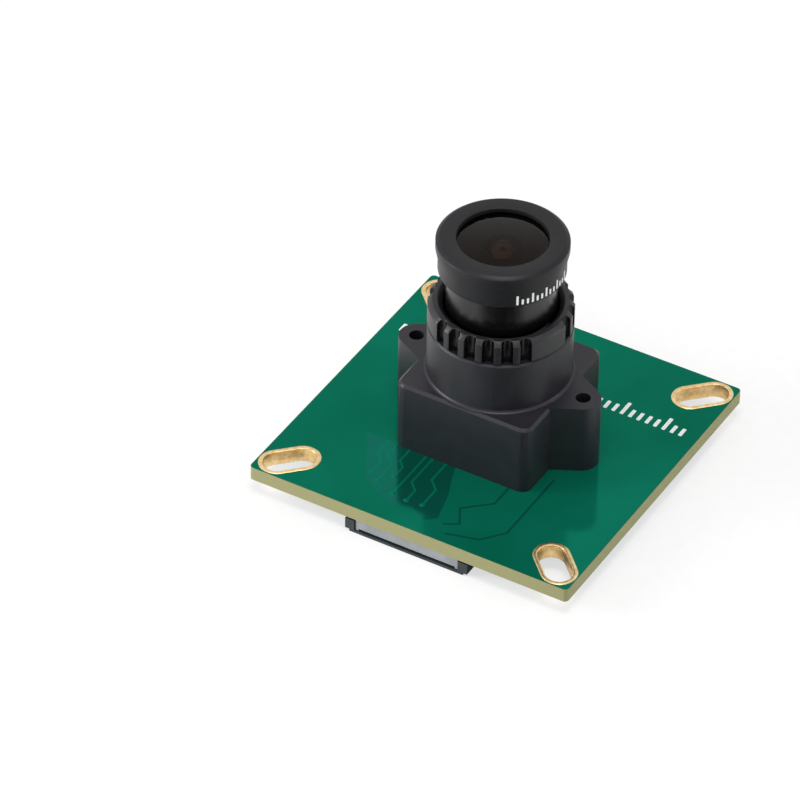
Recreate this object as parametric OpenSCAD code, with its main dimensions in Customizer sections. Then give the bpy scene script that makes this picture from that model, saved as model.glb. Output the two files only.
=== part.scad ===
// Board camera module: a square circuit board that carries a moulded lens holder, a screw-in
// wide-angle lens with its lock ring, an image sensor and a flat-cable connector underneath.
// Millimetres. +Z is the way the lens looks, the connector's mouth faces -Y, and the origin is
// on the resting plane, straight below the lens axis.

/* [Circuit board] */
// Side of the square board
board_side = 38; // [37:0.5:40]
// Thickness of the board
board_thickness = 1.6; // [1.2:0.1:2]
// Radius of the board's corners
board_corner_radius = 0.5; // [0.3:0.1:1]

/* [Mounting slots] */
// Distance from a board edge to the centre of a corner slot
slot_inset = 3.1; // [3:0.1:3.6]
// Length of a slot from end to end
slot_length = 5.8; // [5:0.1:6]
// Width of a slot
slot_width = 3; // [2.6:0.1:3]
// Width of the gold rim round a slot
slot_rim = 0.48; // [0.4:0.02:0.5]
// Thickness of the plated copper lining
lining_thickness = 0.05; // [0.04:0.01:0.08]

/* [Lens holder] */
// Side of the holder's square block
block_side = 16; // [15.6:0.1:17]
// Height of the block
block_height = 8.3; // [7:0.1:9]
// Radius of the block's upright corners
block_corner_radius = 1.2; // [0.8:0.1:1.5]
// Height of the whole holder above the board
holder_height = 14.4; // [13:0.1:15]
// Radius of the round neck
neck_radius = 7.65; // [7.4:0.05:7.7]
// Distance between the two ear holes
ear_hole_spacing = 20; // [19.6:0.2:22]
// Radius of an ear's round end
ear_radius = 1.9; // [1.7:0.1:2.2]
// Width of an ear where it leaves the block
ear_root_width = 7; // [6:0.2:8]
// Radius of the hole that the screw cuts its thread in
pilot_radius = 0.8; // [0.7:0.05:0.85]
// Side of the square room over the image sensor
sensor_room_side = 12.6; // [12:0.1:12.8]
// Height of that room
sensor_room_height = 2.9; // [2.6:0.1:3.2]
// Thickness of the web between the sensor's room and the lens
web_thickness = 1.1; // [0.9:0.1:1.3]

/* [Lens barrel] */
// Radius of the lens thread
thread_radius = 6; // [6:0.5:6]
// Height of the lens above the board
lens_top = 25.3; // [24.5:0.1:26.5]
// Height of the wide head
head_height = 4; // [3.6:0.1:4.2]
// Radius of the head's rim
head_radius = 6.95; // [6.9:0.05:7.1]
// Radius of the head at its foot
head_foot_radius = 6.68; // [6.5:0.02:6.8]
// Radius of the smooth neck below the head
barrel_neck_radius = 5.8; // [5.6:0.05:5.9]
// Radius of the front opening
mouth_radius = 4.85; // [4.7:0.05:4.9]
// Depth of the front opening down to the glass
mouth_depth = 0.5; // [0.4:0.1:0.6]
// Height of the barrel's lower end above the board
barrel_foot = 7; // [6.6:0.1:7.2]
// Radius of the bore that holds the lens elements
lens_bore_radius = 4.95; // [4.95:0.01:5]

/* [Lock ring] */
// Height of the ring
ring_height = 2.9; // [2.6:0.1:3.2]
// Radius over the ring
ring_radius = 7.65; // [7.4:0.05:7.8]
// Radius of a finger flute
flute_radius = 0.62; // [0.5:0.02:0.7]
// Depth of a finger flute
flute_depth = 0.77; // [0.6:0.01:0.8]
// Flutes in one group
flutes_in_group = 6; // [4:1:7]
// Groups of flutes round the ring
flute_groups = 3; // [3:1:3]
// Turn of the first flute from +X
ring_clocking = -115.5; // [-180:0.5:180]

/* [Flat-cable connector] */
// Number of contacts
contact_count = 22; // [20:2:22]
// Distance between contacts
contact_pitch = 0.5; // [0.5:0.1:0.5]
// Width over the connector
connector_width = 14.6; // [14.6:0.1:15.6]
// Height of the connector below the board
connector_height = 1.8; // [1.7:0.1:2]
// Distance from the board's edge back to the connector's face
connector_setback = 0.15; // [0.1:0.05:0.3]
// Depth of the connector's housing
housing_depth = 4.65; // [4.5:0.05:4.8]

/* [Hidden] */
$fn = 48;

// Cuts reach this far past the faces they cut.
over = 0.5;

// Levels of the board's two faces.
board_bottom = connector_height;
board_top = board_bottom + board_thickness;
half_board = board_side / 2;
slot_place = half_board - slot_inset;

// Running clearance between pieces that turn or slide in each other.
turn_gap = 0.03;
face_gap = 0.02;
bore_radius = thread_radius + turn_gap;
barrel_radius = thread_radius - turn_gap;
glass_radius = lens_bore_radius - turn_gap;

// Levels of the lens, above the row's origin.
lens_z = board_top + lens_top;
head_z = lens_z - head_height;
seat_z = lens_z - mouth_depth;
barrel_foot_z = board_top + barrel_foot;
holder_z = board_top + holder_height;
block_z = board_top + block_height;
web_z = board_top + sensor_room_height;
ring_z = holder_z + face_gap;

// Lengths of the pieces stacked in the barrel, from the front seat down.
front_edge = 2.3;
stop_thickness = 0.2;
front_spacer_length = 1.5;
second_edge = 1.8;
middle_spacer_length = 2.6;
third_edge = 1.4;
fourth_edge = 2;
rear_spacer_length = 1.9;
rear_edge = 1.5;
retaining_length = 1.2;

// Levels of the lower faces of that stack.
front_z = seat_z - face_gap - front_edge;
stop_z = front_z - stop_thickness;
front_spacer_z = stop_z - front_spacer_length;
second_z = front_spacer_z - second_edge;
middle_spacer_z = second_z - middle_spacer_length;
third_z = middle_spacer_z - third_edge;
fourth_z = third_z - fourth_edge;
rear_spacer_z = fourth_z - rear_spacer_length;
rear_z = rear_spacer_z - rear_edge;
retaining_z = rear_z - face_gap - retaining_length;

// Clear radii of the lens elements' curved faces, and of the stop between the first two.
front_clear = 4.6;
front_hollow = 1.95;
inner_clear = 3.5;
second_clear = 2.9;
stop_radius = 0.6;

// The screws that hold the lens holder.
screw_radius = 1;
screw_clearance_radius = 1.15;
screw_head_radius = 1.9;
screw_head_height = 1.3;
screw_bite = 4.4;

// Locating pins under the holder's corners.
pin_place = 7.1;
pin_radius = 0.5;
pin_hole_radius = 0.55;
pin_length = 1.2;

// Image sensor and infrared filter.
package_side = 10;
package_height = 0.9;
cover_glass_side = 9.4;
cover_glass_thickness = 0.4;
die_size = [6.4, 5.4, 0.3];
die_recess = 0.55;
filter_side = 8.4;
filter_thickness = 0.3;

// Flat-cable connector: every y is measured from the board's edge at -Y.
face_y = -half_board + connector_setback;
back_y = face_y + housing_depth;
floor_z = 0.6;
roof_thickness = 0.25;
mouth_half = contact_pitch * contact_count / 2 + 0.25;
body_half = connector_width / 2 - 1.2;
mouth_end_y = back_y - 1;
contact_width = 0.2;
contact_thickness = 0.18;
contact_z = floor_z + 0.05;
slider_bar_depth = 1.15;
slider_bar_height = 0.33;

// Small parts on the underside: [x, y, turn], chosen so that tracks can reach them.
regulator_places = [[-14.4, 7, 90], [-14.4, 1.5, 90], [-14.4, -4, 90]];
oscillator_places = [[13.6, 5, 0]];
memory_places = [[11.2, -7.4, 0]];
tantalum_places = [[-8.5, 15.6, 0], [8.5, 15.6, 0]];
choke_places = [[-3.2, 13.6, 0], [3.2, 13.6, 0]];
ceramic_places = [
    [-6, 9.4, 90], [-4, 9.4, 90], [-2, 9.4, 90], [0, 9.4, 90], [2, 9.4, 90], [4, 9.4, 90],
    [6, 9.4, 90], [-5, 5, 0], [-5, 3.4, 0], [5, 5, 0], [5, 3.4, 0], [-5, -4, 0], [5, -4, 0],
    [-4, -8, 90], [-2, -8, 90], [0, -8, 90], [2, -8, 90], [4, -8, 90], [13.6, 8.2, 0],
    [-16.6, 9.6, 90], [-16.6, -7, 90],
];
resistor_places = [
    [-6.6, -11, 90], [-5.4, -11, 90], [-4.2, -11, 90], [5.4, -11, 90], [6.6, -11, 90],
    [16.8, -5.6, 90], [16.8, -7.2, 90], [-0.6, 13.2, 90], [0.6, 13.2, 90], [16.6, 1.2, 90],
    [-11.4, 9, 90], [-11.4, 6.6, 90], [11.4, 12, 0], [13.2, 12, 0],
];

// ---- Outlines -------------------------------------------------------------------------------

module slot_outline(length, width) {
    straight = length - width;
    square([straight, width], center = true);
    translate([straight / 2, 0]) circle(width / 2);
    translate([-straight / 2, 0]) circle(width / 2);
}

module rounded_square(side, radius) {
    inner = side - 2 * radius;
    square([side, inner], center = true);
    square([inner, side], center = true);
    for (x = [-1, 1], y = [-1, 1]) {
        translate([x * inner / 2, y * inner / 2]) circle(radius);
    }
}

// One copy at each corner slot, turned to lie along the board's diagonal.
module at_slots() {
    for (quarter = [0 : 3]) {
        rotate(90 * quarter) translate([slot_place, slot_place]) rotate(45) children();
    }
}

module at_screws() {
    for (side = [-1, 1]) {
        translate([side * ear_hole_spacing / 2, 0]) children();
    }
}

module at_pins() {
    for (side = [-1, 1]) {
        translate([side * pin_place, side * pin_place]) children();
    }
}

// A part drawn standing on z = 0, hung under the board at each of the places.
module under_board(places) {
    for (place = places) {
        translate([place[0], place[1], board_bottom]) mirror([0, 0, 1]) rotate(place[2]) children();
    }
}

// ---- Board ----------------------------------------------------------------------------------

module circuit_board() {
    color("darkgreen") translate([0, 0, board_bottom]) difference() {
        linear_extrude(board_thickness) rounded_square(board_side, board_corner_radius);
        translate([0, 0, -over]) linear_extrude(board_thickness + 2 * over) {
            at_slots() slot_outline(
                slot_length + 2 * lining_thickness, slot_width + 2 * lining_thickness
            );
            at_screws() circle(screw_clearance_radius);
            at_pins() circle(pin_hole_radius);
        }
    }
}

// Copper barrel and its two rims, plated with gold, in each slot.
module slot_linings() {
    color("goldenrod") at_slots() difference() {
        union() {
            translate([0, 0, board_bottom]) linear_extrude(board_thickness) slot_outline(
                slot_length + 2 * lining_thickness, slot_width + 2 * lining_thickness
            );
            for (level = [board_bottom - lining_thickness, board_top]) {
                translate([0, 0, level]) linear_extrude(lining_thickness) slot_outline(
                    slot_length + 2 * slot_rim, slot_width + 2 * slot_rim
                );
            }
        }
        translate([0, 0, board_bottom - over]) linear_extrude(board_thickness + 2 * over) {
            slot_outline(slot_length, slot_width);
        }
    }
}

// ---- Lens holder ----------------------------------------------------------------------------

// An ear narrows from the block to its round end along two tangents.
module ear_outline() {
    reach = ear_hole_spacing / 2;
    root = block_side / 2 - over;
    away = norm([root - reach, ear_root_width / 2]);
    tangent_turn = atan2(ear_root_width / 2, root - reach) - acos(ear_radius / away);
    tangent = [reach + ear_radius * cos(tangent_turn), ear_radius * sin(tangent_turn)];
    translate([reach, 0]) circle(ear_radius);
    polygon([
        [0, -ear_root_width / 2], [root, -ear_root_width / 2], [tangent[0], -tangent[1]],
        tangent, [root, ear_root_width / 2], [0, ear_root_width / 2],
    ]);
}

module holder_block() {
    edge = 0.3;
    linear_extrude(block_height - edge) rounded_square(block_side, block_corner_radius);
    translate([0, 0, block_height - edge]) hull() {
        linear_extrude(0.01) rounded_square(block_side, block_corner_radius, $fn = 32);
        translate([0, 0, edge - 0.01]) linear_extrude(0.01) {
            rounded_square(block_side - 2 * edge, block_corner_radius - edge, $fn = 32);
        }
    }
    for (turn = [0, 180]) {
        rotate(turn) linear_extrude(block_height) ear_outline();
    }
}

// Round neck with a bevelled top edge and a fillet where it stands on the block.
module holder_neck() {
    bevel = 0.2;
    fillet = block_side / 2 - neck_radius;
    rotate_extrude() polygon([
        [0, block_height - over], [neck_radius, block_height - over],
        [neck_radius, holder_height - bevel], [neck_radius - bevel, holder_height],
        [0, holder_height],
    ]);
    rotate_extrude() translate([neck_radius, block_height]) difference() {
        translate([-over, -over]) square(fillet + over);
        translate([fillet, fillet]) circle(fillet);
        translate([0, -2 * over]) square([2 * over, 2 * over]);
    }
}

module lens_holder() {
    lead_in = 0.4;
    color("#2a2d31") translate([0, 0, board_top]) difference() {
        union() {
            holder_block();
            holder_neck();
            translate([0, 0, -pin_length]) linear_extrude(pin_length + over) at_pins() circle(pin_radius);
        }
        // Room over the sensor, its filter's seat and the window above.
        translate([-sensor_room_side / 2, -sensor_room_side / 2, -over]) cube([
            sensor_room_side, sensor_room_side, sensor_room_height + over,
        ]);
        translate([-filter_side / 2 - 0.05, -filter_side / 2 - 0.05, 0]) cube([
            filter_side + 0.1, filter_side + 0.1, sensor_room_height + filter_thickness + 0.05,
        ]);
        cylinder(h = holder_height, r = 3.7);
        // Threaded bore with its lead-in.
        translate([0, 0, sensor_room_height + web_thickness]) cylinder(h = holder_height, r = bore_radius);
        translate([0, 0, holder_height - lead_in]) cylinder(
            h = lead_in + 0.01, r1 = bore_radius, r2 = bore_radius + lead_in + 0.01
        );
        at_screws() translate([0, 0, -over]) cylinder(h = block_height + 2 * over, r = pilot_radius);
    }
}

// Pan-head screw driven up through the board into an ear.
module holder_screws() {
    dome_radius = 2.6;
    recess = [0.42, 2, 0.75];
    color("silver") at_screws() difference() {
        union() {
            intersection() {
                translate([0, 0, board_bottom - screw_head_height]) cylinder(
                    h = screw_head_height, r = screw_head_radius
                );
                translate([0, 0, board_bottom - screw_head_height + dome_radius]) sphere(dome_radius);
            }
            translate([0, 0, board_bottom - 0.1]) cylinder(
                h = board_thickness + screw_bite - 0.5, r = screw_radius
            );
            translate([0, 0, board_top + screw_bite - 0.6]) cylinder(
                h = 0.6, r1 = screw_radius, r2 = 0.5
            );
        }
        for (turn = [0, 90]) {
            rotate(turn) translate([
                -recess[0] / 2, -recess[1] / 2, board_bottom - screw_head_height - 0.1,
            ]) cube(recess);
        }
    }
}

// ---- Lock ring ------------------------------------------------------------------------------

module lock_ring() {
    outer_bevel = 0.5;
    inner_bevel = 0.55;
    flutes_in_turn = flute_groups * (flutes_in_group + 2);
    bore = bore_radius + turn_gap;
    color("#25282b") translate([0, 0, ring_z]) difference() {
        rotate_extrude() polygon([
            [bore, 0], [ring_radius - 0.2, 0], [ring_radius, 0.2],
            [ring_radius, ring_height - outer_bevel], [ring_radius - outer_bevel, ring_height],
            [bore + inner_bevel, ring_height], [bore, ring_height - inner_bevel],
        ]);
        for (group = [0 : flute_groups - 1], flute = [0 : flutes_in_group - 1]) {
            rotate(ring_clocking + 360 / flute_groups * group + 360 / flutes_in_turn * flute) {
                translate([ring_radius - flute_depth + flute_radius, 0, -over]) cylinder(
                    h = ring_height + 2 * over, r = flute_radius, $fn = 24
                );
            }
        }
    }
}

// ---- Lens barrel and the pieces inside it -----------------------------------------------------

module lens_barrel() {
    rim_height = 0.9;
    rim_bevel = 0.3;
    taper_height = 1.3;
    foot_bevel = 0.15;
    lip = 0.1;
    thread_top_z = ring_z + ring_height - 0.5;
    color("#2e2e31") difference() {
        rotate_extrude() polygon([
            [0, barrel_foot_z], [barrel_radius - 0.3, barrel_foot_z],
            [barrel_radius, barrel_foot_z + 0.3], [barrel_radius, thread_top_z - 0.2],
            [barrel_neck_radius, thread_top_z], [barrel_neck_radius, head_z],
            [head_foot_radius - foot_bevel, head_z], [head_foot_radius, head_z + foot_bevel],
            [head_foot_radius, lens_z - rim_bevel - rim_height - taper_height],
            [head_radius, lens_z - rim_bevel - rim_height], [head_radius, lens_z - rim_bevel],
            [head_radius - 0.42, lens_z], [0, lens_z],
        ]);
        translate([0, 0, barrel_foot_z - over]) cylinder(
            h = seat_z - barrel_foot_z + over, r = lens_bore_radius
        );
        translate([0, 0, seat_z - 0.1]) cylinder(h = mouth_depth + 0.2, r = mouth_radius - lip);
        translate([0, 0, seat_z + 0.2]) cylinder(
            h = mouth_depth - 0.19, r1 = mouth_radius - lip, r2 = mouth_radius
        );
    }
}

// Part of a ball, rise high over a flat circle of the given radius at z = 0.
module dome(radius, rise) {
    ball = (radius * radius + rise * rise) / (2 * rise);
    intersection() {
        translate([0, 0, rise - ball]) sphere(ball, $fn = 96);
        cylinder(h = rise + over, r = radius + over);
    }
}

// Glass disc whose faces bulge by top and bottom, or are hollow where those are negative.
module glass_disc(edge, top, bottom, clear) {
    difference() {
        union() {
            cylinder(h = edge, r = glass_radius);
            if (top > 0) translate([0, 0, edge]) dome(clear, top);
            if (bottom > 0) mirror([0, 0, 1]) dome(clear, bottom);
        }
        if (top < 0) translate([0, 0, edge]) mirror([0, 0, 1]) dome(clear, -top);
        if (bottom < 0) dome(clear, -bottom);
    }
}

// Black sleeve between two elements, opening out towards one end.
module spacer(length, low_radius, high_radius) {
    difference() {
        cylinder(h = length, r = glass_radius);
        translate([0, 0, -0.01]) cylinder(h = length + 0.02, r1 = low_radius, r2 = high_radius);
    }
}

// Wide-angle front lens: a low dome outside and half a ball hollowed out over the stop.
module front_element() {
    color("#4a3428") translate([0, 0, front_z]) difference() {
        union() {
            cylinder(h = front_edge, r = glass_radius);
            translate([0, 0, front_edge]) dome(front_clear, 0.35);
        }
        sphere(front_hollow);
    }
}

module aperture_stop() {
    color("#4b3a2c") translate([0, 0, stop_z]) difference() {
        cylinder(h = stop_thickness, r = glass_radius);
        translate([0, 0, -over]) cylinder(h = stop_thickness + 2 * over, r = stop_radius);
    }
}

module front_spacer() {
    color("#1c1c1e") translate([0, 0, front_spacer_z]) spacer(
        front_spacer_length, second_clear, second_clear - 0.5
    );
}

module second_element() {
    color("#5a4636") translate([0, 0, second_z]) glass_disc(second_edge, 0.5, 0, second_clear);
}

module middle_spacer() {
    color("#1c1c1e") translate([0, 0, middle_spacer_z]) spacer(
        middle_spacer_length, inner_clear + 0.2, second_clear
    );
}

module third_element() {
    color("#54463c") translate([0, 0, third_z]) glass_disc(third_edge, 0.5, 0.45, inner_clear);
}

module fourth_element() {
    color("#54463c") translate([0, 0, fourth_z]) glass_disc(fourth_edge, -0.6, 0, inner_clear);
}

module rear_spacer() {
    color("#1c1c1e") translate([0, 0, rear_spacer_z]) spacer(
        rear_spacer_length, inner_clear + 0.1, inner_clear - 0.2
    );
}

module rear_element() {
    color("#54463c") translate([0, 0, rear_z]) glass_disc(rear_edge, 0.4, 0.4, inner_clear);
}

// Threaded ring that clamps the stack, with two slots for a pin spanner.
module rear_retaining_ring() {
    slot = [0.8, 3 * lens_bore_radius, 0.6];
    color("#1c1c1e") translate([0, 0, retaining_z]) difference() {
        cylinder(h = retaining_length, r = lens_bore_radius);
        translate([0, 0, -0.01]) cylinder(
            h = retaining_length + 0.02, r1 = inner_clear + 0.5, r2 = inner_clear + 0.1
        );
        translate([-slot[0] / 2, -slot[1] / 2, -0.1]) cube(slot);
    }
}

// ---- Filter and sensor -------------------------------------------------------------------------

module infrared_filter() {
    color("#7fb7c9") translate([-filter_side / 2, -filter_side / 2, web_z + 0.05]) cube([
        filter_side, filter_side, filter_thickness,
    ]);
}

module sensor_package() {
    inner = package_side - 1.8;
    color("#3b3a36") translate([-package_side / 2, -package_side / 2, board_top]) difference() {
        cube([package_side, package_side, package_height]);
        translate([(package_side - inner) / 2, (package_side - inner) / 2, package_height - die_recess]) {
            cube([inner, inner, package_height]);
        }
    }
}

module sensor_die() {
    color("#4c5a66") translate([
        -die_size[0] / 2, -die_size[1] / 2, board_top + package_height - die_recess,
    ]) cube(die_size);
}

module sensor_cover_glass() {
    color("#bcd3d8") translate([
        -cover_glass_side / 2, -cover_glass_side / 2, board_top + package_height,
    ]) cube([cover_glass_side, cover_glass_side, cover_glass_thickness]);
}

// ---- Flat-cable connector -----------------------------------------------------------------------

module at_contacts() {
    first = -(contact_count - 1) / 2 * contact_pitch;
    for (index = [0 : contact_count - 1]) {
        translate([first + index * contact_pitch, 0, 0]) children();
    }
}

module connector_housing() {
    shoulder_y = face_y + 2.65;
    shoulder_z = 0.3;
    roof_y = -half_board + slider_bar_depth + 0.1;
    color("gainsboro") difference() {
        union() {
            translate([-body_half, face_y, 0]) cube([2 * body_half, housing_depth, board_bottom]);
            translate([-connector_width / 2, shoulder_y, shoulder_z]) cube([
                connector_width, back_y - shoulder_y, board_bottom - shoulder_z,
            ]);
        }
        // Mouth for the cable and the slider's tongue.
        translate([-mouth_half, face_y - over, roof_thickness]) cube([
            2 * mouth_half, mouth_end_y - face_y + over, floor_z - roof_thickness,
        ]);
        // The roof stands back behind the slider's bar.
        translate([-body_half - over, face_y - over, -over]) cube([
            2 * (body_half + over), roof_y - face_y + over, slider_bar_height + over + 0.05,
        ]);
        // A groove for each contact, and the hole where it leaves at the back.
        at_contacts() translate([-0.14, face_y + 0.4, floor_z - 0.1]) cube([
            0.28, mouth_end_y - face_y - 0.4, 0.36,
        ]);
        at_contacts() translate([-contact_width / 2, mouth_end_y - 0.1, contact_z]) cube([
            contact_width, 2, contact_thickness,
        ]);
    }
}

module connector_slider() {
    arm_width = 1.1;
    arm_length = 2.7;
    lift = 0.03;
    front_y = -half_board;
    color("#222226") {
        translate([-connector_width / 2 + 0.5, front_y, lift]) cube([
            connector_width - 1, slider_bar_depth, slider_bar_height - lift,
        ]);
        for (side = [-1, 1]) {
            translate([side * (connector_width - arm_width) / 2 - arm_width / 2, front_y, 0.3]) {
                cube([arm_width, arm_length, 1.3]);
            }
        }
        translate([-mouth_half + 0.1, front_y + slider_bar_depth - 0.2, roof_thickness + 0.03]) {
            cube([2 * mouth_half - 0.2, 2.7, 0.13]);
        }
    }
}

// Spring beam in the mouth, a leg behind the housing and a foot soldered to the board.
module connector_contacts() {
    tip_y = face_y + 0.45;
    leg_y = back_y + 0.05;
    foot_y = back_y + 0.85;
    color("goldenrod") at_contacts() translate([contact_width / 2, 0, 0]) {
        rotate([90, 0, -90]) linear_extrude(contact_width) polygon([
            [-tip_y, contact_z], [-leg_y - 0.2, contact_z], [-leg_y - 0.2, board_bottom - 0.15],
            [-foot_y, board_bottom - 0.15], [-foot_y, board_bottom], [-leg_y, board_bottom],
            [-leg_y, contact_z + contact_thickness], [-tip_y, contact_z + contact_thickness],
        ]);
    }
}

module connector_anchors() {
    side_x = connector_width / 2;
    thickness = 0.15;
    length = 1.3;
    color("silver") for (side = [0, 1]) {
        mirror([side, 0, 0]) translate([side_x, back_y - length - 0.3, 0]) {
            translate([0, 0, 1]) cube([thickness, length, board_bottom - 1]);
            translate([0, 0, board_bottom - thickness]) cube([0.9, length, thickness]);
        }
    }
}

// ---- Small parts under the board ----------------------------------------------------------------

// Bent metal lead that reaches out along +Y from a body of the given half width.
module gull_lead(body_half_width, width) {
    start = body_half_width - 0.05;
    translate([width / 2, 0, 0]) rotate([90, 0, -90]) linear_extrude(width) polygon([
        [-start, 0.5], [-start - 0.25, 0.5], [-start - 0.35, 0], [-start - 0.75, 0],
        [-start - 0.75, 0.12], [-start - 0.45, 0.12], [-start - 0.35, 0.62], [-start, 0.62],
    ]);
}

module leaded_body(length, width, height) {
    translate([-length / 2, -width / 2, 0.1]) cube([length, width, height - 0.1]);
}

module voltage_regulators() {
    color("#2b2b2d") under_board(regulator_places) {
        leaded_body(2.9, 1.6, 1.15);
        for (x = [-0.95, 0, 0.95]) {
            translate([x, 0, 0]) gull_lead(0.8, 0.4);
        }
        for (x = [-0.95, 0.95]) {
            translate([x, 0, 0]) mirror([0, 1, 0]) gull_lead(0.8, 0.4);
        }
    }
}

module memory_chip() {
    color("#2b2b2d") under_board(memory_places) {
        leaded_body(3, 4.4, 1.1);
        for (x = [-0.975 : 0.65 : 0.976], side = [0, 1]) {
            mirror([0, side, 0]) translate([x, 0, 0]) gull_lead(2.2, 0.25);
        }
    }
}

module clock_oscillator() {
    color("#b9b4a4") under_board(oscillator_places) {
        translate([-1.6, -1.25, 0]) cube([3.2, 2.5, 0.55]);
        translate([-1.4, -1.05, 0.55]) cube([2.8, 2.1, 0.35]);
    }
}

// Moulded body with metal tabs folded round its ends; the pair are the rear feet of the module.
module tantalum_capacitors() {
    body = [3.2, 1.6];
    tab = [0.12, 1.2, 0.9];
    color("#c08a2e") under_board(tantalum_places) {
        translate([-body[0] / 2, -body[1] / 2, 0.1]) cube([body[0], body[1], board_bottom - 0.1]);
        for (side = [-1, 1]) {
            translate([side * (body[0] + tab[0]) / 2, 0, tab[2] / 2]) cube(tab, center = true);
            translate([side * (body[0] / 2 - 0.4), 0, 0.05]) cube([0.8, tab[1], 0.1], center = true);
        }
    }
}

// Chip part: a body between two end caps that stand a little proud of it.
module chip(length, width, height, cap) {
    proud = 0.03;
    translate([-length / 2, -width / 2 + proud, proud]) cube([
        length, width - 2 * proud, height - 2 * proud,
    ]);
    for (side = [0, 1]) {
        mirror([side, 0, 0]) translate([length / 2 - cap, -width / 2, 0]) cube([cap, width, height]);
    }
}

module ceramic_capacitors() {
    color("#a98f6a") under_board(ceramic_places) chip(1.6, 0.8, 0.8, 0.35);
}

module chip_resistors() {
    color("#26272b") under_board(resistor_places) chip(1, 0.5, 0.35, 0.2);
}

module ferrite_chokes() {
    color("#55585c") under_board(choke_places) chip(2, 1.25, 0.9, 0.4);
}

circuit_board();
slot_linings();
lens_holder();
holder_screws();
lock_ring();
lens_barrel();
front_element();
aperture_stop();
front_spacer();
second_element();
middle_spacer();
third_element();
fourth_element();
rear_spacer();
rear_element();
rear_retaining_ring();
infrared_filter();
sensor_package();
sensor_die();
sensor_cover_glass();
connector_housing();
connector_slider();
connector_contacts();
connector_anchors();
voltage_regulators();
clock_oscillator();
memory_chip();
tantalum_capacitors();
ceramic_capacitors();
chip_resistors();
ferrite_chokes();
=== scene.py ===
# %% [markdown]
# # A board camera, dressed piece by piece
# The real thing is a 38 mm circuit board with a black lens tower on it. The solid model already
# holds every piece at its real size, so this file adds what solids lack: softened edges, the
# lens thread, plated and printed details, and a finish for every surface.
# The solid model is loaded first and never moved. Whatever is added rides on one of its bodies.

# %% Load the solid model
import math

import bmesh
import bpy
from mathutils import Matrix, Vector


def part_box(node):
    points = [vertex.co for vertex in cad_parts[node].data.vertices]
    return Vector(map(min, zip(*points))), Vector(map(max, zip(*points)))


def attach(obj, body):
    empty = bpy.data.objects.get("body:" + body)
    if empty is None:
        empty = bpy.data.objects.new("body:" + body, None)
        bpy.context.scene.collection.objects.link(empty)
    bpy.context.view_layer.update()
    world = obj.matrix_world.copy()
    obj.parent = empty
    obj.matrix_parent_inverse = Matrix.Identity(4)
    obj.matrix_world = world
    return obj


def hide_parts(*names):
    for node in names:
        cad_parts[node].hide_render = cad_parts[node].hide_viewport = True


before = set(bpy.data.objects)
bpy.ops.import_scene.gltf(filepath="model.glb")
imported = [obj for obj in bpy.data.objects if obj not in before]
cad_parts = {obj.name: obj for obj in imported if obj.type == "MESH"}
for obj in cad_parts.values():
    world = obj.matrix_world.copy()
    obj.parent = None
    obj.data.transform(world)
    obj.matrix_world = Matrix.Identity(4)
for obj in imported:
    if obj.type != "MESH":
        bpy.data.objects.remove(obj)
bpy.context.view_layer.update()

scene = bpy.context.scene
scene.view_settings.view_transform = "Standard"

# %% [markdown]
# ## Sizes
# Blender works in metres here, and a camera board is thought of in millimetres, so every size
# below is a number times MM. The levels are read from the solid model's own boxes: if a piece
# changes height there, everything in this file follows.

# %% Millimetres and levels
MM = 0.001
board_low, board_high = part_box("circuit_board")
barrel_low, barrel_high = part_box("lens_barrel")
ring_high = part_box("lock_ring")[1]
half_board = board_high.x
print("board top at", round(board_high.z / MM, 2), "mm")
print("lens top at", round(barrel_high.z / MM, 2), "mm")

# %% [markdown]
# ## Colours and shader nodes
# A colour picked from a chart is an sRGB hex value, but shaders add light, so they need linear
# numbers. One function turns the first into the second.
# A second one adds a shader node. It takes the node's settings and its inputs, and where an
# input is another node's output it draws the link, so each material below reads like a recipe.

# %% Colour and node helpers
def linear(hex_colour):
    """An sRGB hex colour as the four linear numbers that a shader wants."""
    values = [int(hex_colour[i:i + 2], 16) / 255 for i in (1, 3, 5)]
    return [v / 12.92 if v <= 0.04045 else ((v + 0.055) / 1.055) ** 2.4 for v in values] + [1.0]


def add_node(material, kind, settings=None, inputs=None):
    """Adds a shader node, sets its options and fills or links its inputs."""
    node = material.node_tree.nodes.new(kind)
    for name, value in (settings or {}).items():
        setattr(node, name, value)
    for name, value in (inputs or {}).items():
        if isinstance(value, bpy.types.NodeSocket):
            material.node_tree.links.new(value, node.inputs[name])
        else:
            node.inputs[name].default_value = value
    return node


def new_material(name):
    """An empty material, and the millimetre coordinates that its patterns read."""
    material = bpy.data.materials.new(name)
    material.use_nodes = True
    material.node_tree.nodes.clear()
    place = add_node(material, "ShaderNodeTexCoord").outputs["Object"]
    millimetres = add_node(
        material, "ShaderNodeVectorMath", {"operation": "SCALE"}, {0: place, "Scale": 1 / MM}
    )
    return material, millimetres.outputs[0]


def surface(material, inputs):
    """Ends a material with a Principled surface that has these inputs."""
    shader = add_node(material, "ShaderNodeBsdfPrincipled", None, inputs)
    add_node(material, "ShaderNodeOutputMaterial", None, {"Surface": shader.outputs[0]})
    return material


def noise(material, where, scale, detail=2.0, roughness=0.5):
    """A noise pattern with scale features in a millimetre."""
    node = add_node(
        material, "ShaderNodeTexNoise", None,
        {"Vector": where, "Scale": scale, "Detail": detail, "Roughness": roughness},
    )
    return node.outputs["Fac"]


def blend_colours(material, factor, low, high, start=0.35, end=0.65):
    """Two hex colours blended by a pattern, which is stretched from start to end."""
    ramp = add_node(material, "ShaderNodeValToRGB", None, {"Fac": factor})
    ramp.color_ramp.elements[0].position = start
    ramp.color_ramp.elements[0].color = linear(low)
    ramp.color_ramp.elements[1].position = end
    ramp.color_ramp.elements[1].color = linear(high)
    return ramp.outputs["Color"]


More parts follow.
